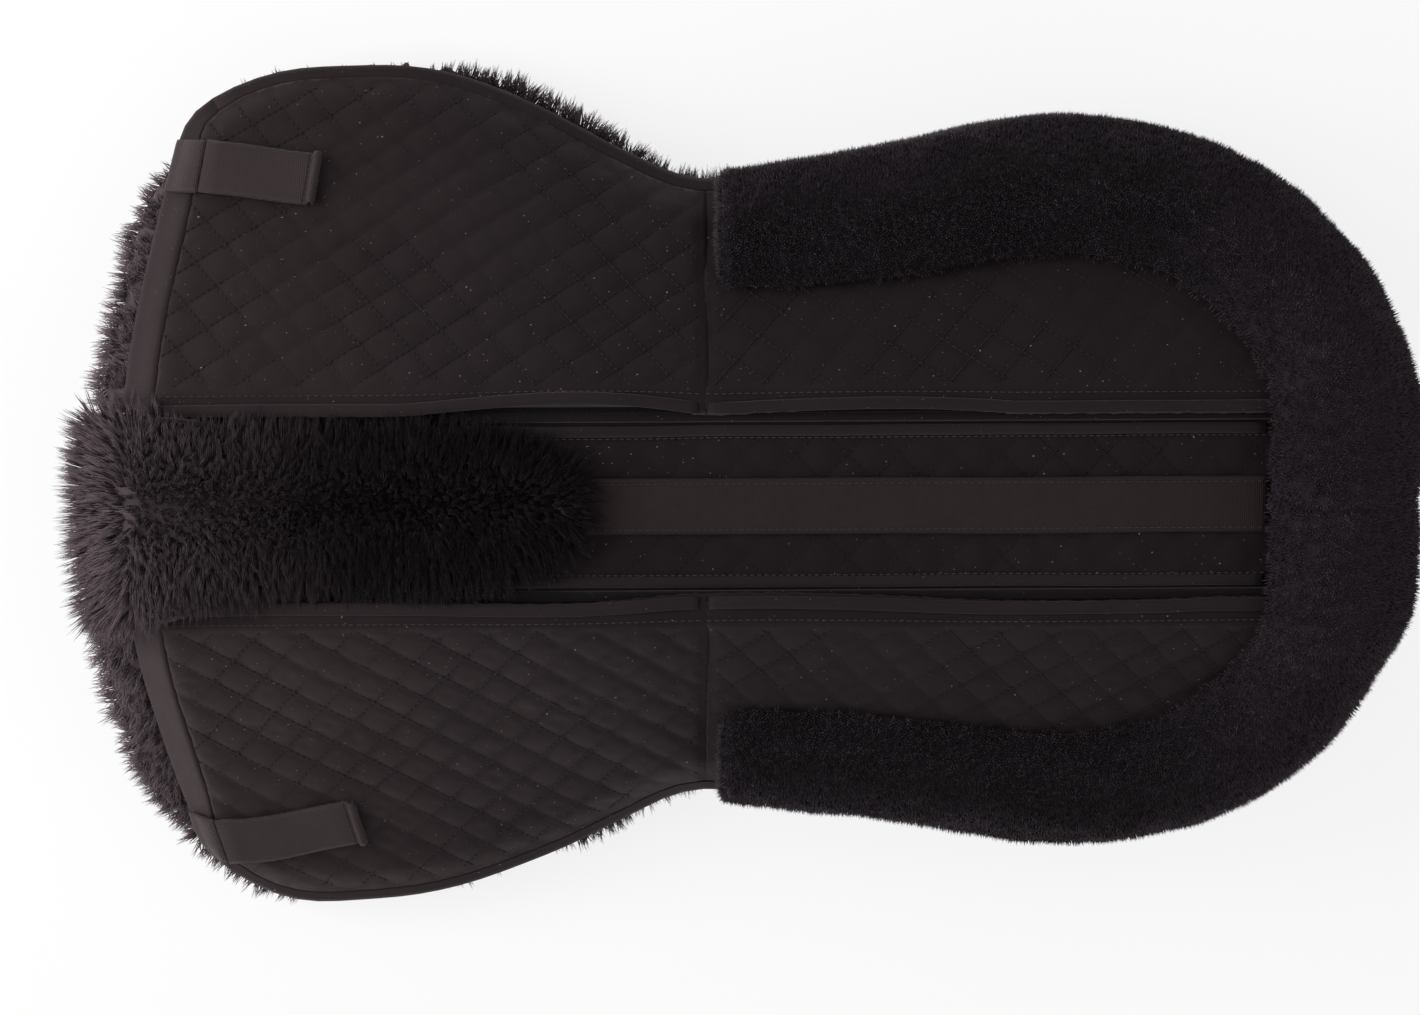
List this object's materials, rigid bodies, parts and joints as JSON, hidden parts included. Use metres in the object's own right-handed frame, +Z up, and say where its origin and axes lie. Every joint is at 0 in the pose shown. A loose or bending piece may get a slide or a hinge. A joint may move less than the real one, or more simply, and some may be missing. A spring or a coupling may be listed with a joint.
{
  "type": "saddle pad",
  "caption": "Sheepskin half pad for under a riding saddle, with quilted cotton flanks, a rear wool roll and pockets for removable shim inserts.",
  "frame": {"origin": "on the ground under the middle of the pad", "axes": "+X towards the rear, +Y towards the horse's right side, +Z up"},
  "size_m": [0.604, 0.4122, 0.1644],
  "materials": {
    "quilted_cotton": "near-black cotton twill, quilted in small diamonds",
    "plain_cotton": "near-black smooth cotton binding with a stitch line",
    "webbing": "near-black ribbed webbing",
    "long_wool": "black sheepskin with long curled wool",
    "short_wool": "black sheepskin with short dense wool",
    "hook_and_loop": "black hook and loop tape, fuzzy",
    "wool_felt": "dark grey wool felt",
    "insert_foam": "dark grey closed-cell foam, matt"
  },
  "bodies": {
    "spine": {"spine_strip": "quilted_cotton", "spine_felt": "wool_felt", "spine_webbing": "webbing", "right_spine_binding": "plain_cotton", "left_spine_binding": "plain_cotton", "wither_wool": "long_wool", "rear_roll_center": "short_wool"},
    "right_side": {"right_sheepskin": "long_wool", "right_pocket_liner": "plain_cotton", "right_padding": "wool_felt", "right_front_cover": "quilted_cotton", "right_rear_cover": "quilted_cotton", "right_front_edge_band": "plain_cotton", "right_flank_binding": "plain_cotton", "right_front_mouth_binding": "plain_cotton", "right_rear_mouth_binding": "plain_cotton", "right_loop_tapes": "hook_and_loop", "right_hook_tapes": "hook_and_loop", "right_rear_roll": "short_wool", "right_strap_anchor": "webbing", "right_strap_loop_patch": "hook_and_loop"},
    "right_front_insert_body": {"right_front_insert": "insert_foam"},
    "right_rear_insert_body": {"right_rear_insert": "insert_foam"},
    "right_strap_body": {"right_strap": "webbing", "right_strap_hook_patch": "hook_and_loop"},
    "left_side": {"left_sheepskin": "long_wool", "left_pocket_liner": "plain_cotton", "left_padding": "wool_felt", "left_front_cover": "quilted_cotton", "left_rear_cover": "quilted_cotton", "left_front_edge_band": "plain_cotton", "left_flank_binding": "plain_cotton", "left_front_mouth_binding": "plain_cotton", "left_rear_mouth_binding": "plain_cotton", "left_loop_tapes": "hook_and_loop", "left_hook_tapes": "hook_and_loop", "left_rear_roll": "short_wool", "left_strap_anchor": "webbing", "left_strap_loop_patch": "hook_and_loop"},
    "left_front_insert_body": {"left_front_insert": "insert_foam"},
    "left_rear_insert_body": {"left_rear_insert": "insert_foam"},
    "left_strap_body": {"left_strap": "webbing", "left_strap_hook_patch": "hook_and_loop"}
  },
  "joints": [
    {"name": "right_fold", "type": "hinge", "parent": "spine", "child": "right_side", "pos_m": [0, 0.037, 0.128], "axis": [-1, 0, 0], "range_deg": [-36, 50]},
    {"name": "left_fold", "type": "hinge", "parent": "spine", "child": "left_side", "pos_m": [0, -0.037, 0.128], "axis": [1, 0, 0], "range_deg": [-36, 50]},
    {"name": "right_front_insert_slide", "type": "slide", "parent": "right_side", "child": "right_front_insert_body", "axis": [0, -0.809, 0.5878], "range_m": [0, 0.125]},
    {"name": "right_rear_insert_slide", "type": "slide", "parent": "right_side", "child": "right_rear_insert_body", "axis": [0, -0.809, 0.5878], "range_m": [0, 0.125]},
    {"name": "right_strap_lift", "type": "hinge", "parent": "right_side", "child": "right_strap_body", "pos_m": [-0.246, 0.15441, 0.06731], "axis": [0, -0.8404, 0.5419], "range_deg": [0, 150]},
    {"name": "left_front_insert_slide", "type": "slide", "parent": "left_side", "child": "left_front_insert_body", "axis": [0, 0.809, 0.5878], "range_m": [0, 0.125]},
    {"name": "left_rear_insert_slide", "type": "slide", "parent": "left_side", "child": "left_rear_insert_body", "axis": [0, 0.809, 0.5878], "range_m": [0, 0.125]},
    {"name": "left_strap_lift", "type": "hinge", "parent": "left_side", "child": "left_strap_body", "pos_m": [-0.246, -0.15441, 0.06731], "axis": [0, -0.8404, -0.5419], "range_deg": [0, 150]}
  ]
}
